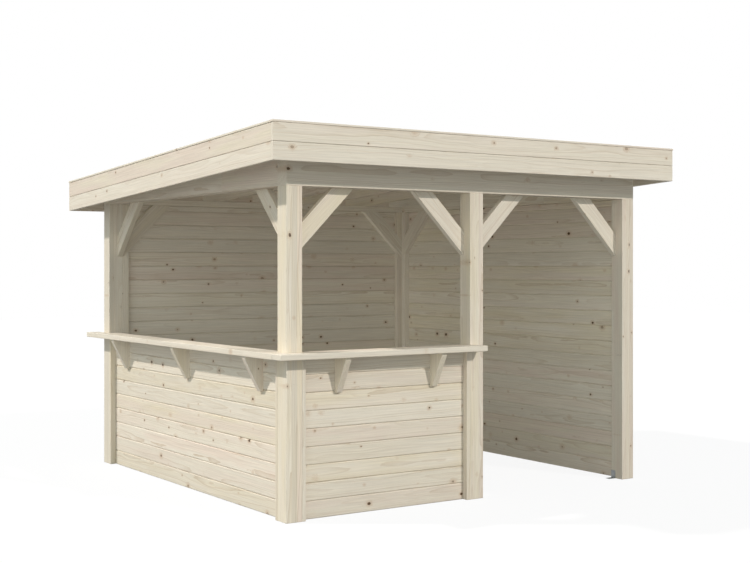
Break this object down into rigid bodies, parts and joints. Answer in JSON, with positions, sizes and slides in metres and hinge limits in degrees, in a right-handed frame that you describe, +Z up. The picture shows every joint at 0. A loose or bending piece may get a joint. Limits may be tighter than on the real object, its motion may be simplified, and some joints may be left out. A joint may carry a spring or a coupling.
{
  "type": "timber gazebo",
  "caption": "Open-fronted square timber gazebo with a mono-pitch roof, full back and right walls, boarded half walls and an L-shaped bar counter.",
  "frame": {"origin": "middle of the bounding box's base, on the ground under the roof", "axes": "+Z up, -Y the open front with the entrance, -X the side with the long bar counter"},
  "size_m": [3.594, 3.618, 2.6038],
  "materials": {
    "timber": "planed, untreated spruce",
    "galvanised": "galvanised"
  },
  "bodies": {
    "root": {"post_front_left": "timber", "post_front_middle": "timber", "post_front_right": "timber", "post_back_left": "timber", "post_back_right": "timber", "beam_front": "timber", "beam_back": "timber", "beam_left": "timber", "beam_right": "timber", "rafters": "timber", "roof_deck": "timber", "fascia_front": "timber", "fascia_back": "timber", "fascia_left": "timber", "fascia_right": "timber", "capping_front_back": "timber", "capping_sides": "timber", "wall_back": "timber", "wall_right": "timber", "half_wall_front": "timber", "half_wall_left": "timber", "battens_back": "timber", "battens_right": "timber", "battens_front": "timber", "battens_left": "timber", "counter_front_board": "timber", "counter_left_board": "timber", "counter_brackets_front": "timber", "counter_brackets_left": "timber", "brace_front_left_post": "timber", "brace_middle_post_left": "timber", "brace_middle_post_right": "timber", "brace_front_right_post": "timber", "brace_left_front": "timber", "brace_left_back": "timber", "brace_back_left": "timber", "brace_back_right": "timber", "brace_right_back": "timber", "post_anchors": "galvanised"}
  },
  "joints": []
}
